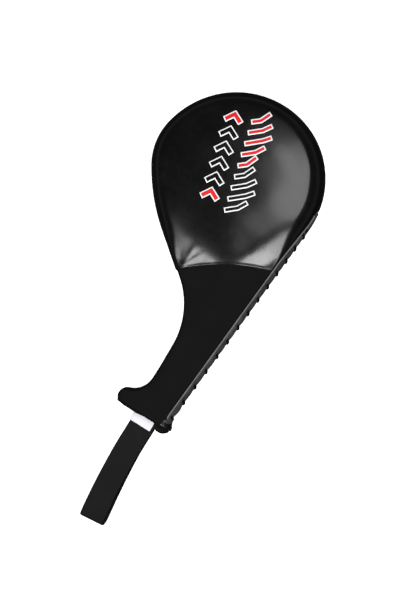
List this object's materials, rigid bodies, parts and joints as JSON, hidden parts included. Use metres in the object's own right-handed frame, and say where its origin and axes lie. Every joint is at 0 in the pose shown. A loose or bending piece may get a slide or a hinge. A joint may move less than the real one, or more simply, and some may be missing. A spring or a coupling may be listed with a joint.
{
  "type": "kick paddle",
  "caption": "Padded striking paddle with a thick round head, a narrower padded grip that is laced along one side, and a flat wrist strap loop at the butt.",
  "frame": {"origin": "middle of the whole paddle's footprint, strap included, on the surface that it lies on with its back face down", "axes": "+Y along the grip towards the head, +X towards the laced side, +Z out of the front striking face"},
  "size_m": [0.2116, 0.5224, 0.04],
  "materials": {
    "head_leather": "satin",
    "butt_leather": "gloss",
    "side_strip": "satin",
    "piping": "satin",
    "neck_fabric": "matte",
    "webbing": "matte",
    "cord": "matte",
    "label": "matte",
    "print_white": "satin",
    "print_red": "satin",
    "foam": "matte",
    "firm_foam": "matte",
    "board": "satin",
    "pin_steel": "satin"
  },
  "bodies": {
    "paddle": {"spine_board": "board", "head_foam_core": "firm_foam", "head_foam_front": "foam", "head_foam_back": "foam", "grip_foam_front": "foam", "grip_foam_back": "foam", "butt_block": "firm_foam", "strap_tail": "webbing", "strap_anchor_pin": "pin_steel", "head_cover_front": "head_leather", "head_cover_back": "head_leather", "head_rim_welt": "head_leather", "neck_cover": "neck_fabric", "side_strip_front": "side_strip", "side_strip_back": "side_strip", "edge_piping_front": "piping", "edge_piping_back": "piping", "side_lacing": "cord", "lace_knot_top": "cord", "lace_knot_bottom": "cord", "butt_panel": "butt_leather"},
    "strap": {"wrist_strap": "webbing", "strap_bartack": "cord", "size_label": "label"}
  },
  "joints": [
    {"name": "strap_swing", "type": "hinge", "parent": "paddle", "child": "strap", "pos_m": [0.05607, -0.13311, 0.02], "axis": [0.9997, 0.0227, 0], "range_deg": [-80, 68]}
  ]
}
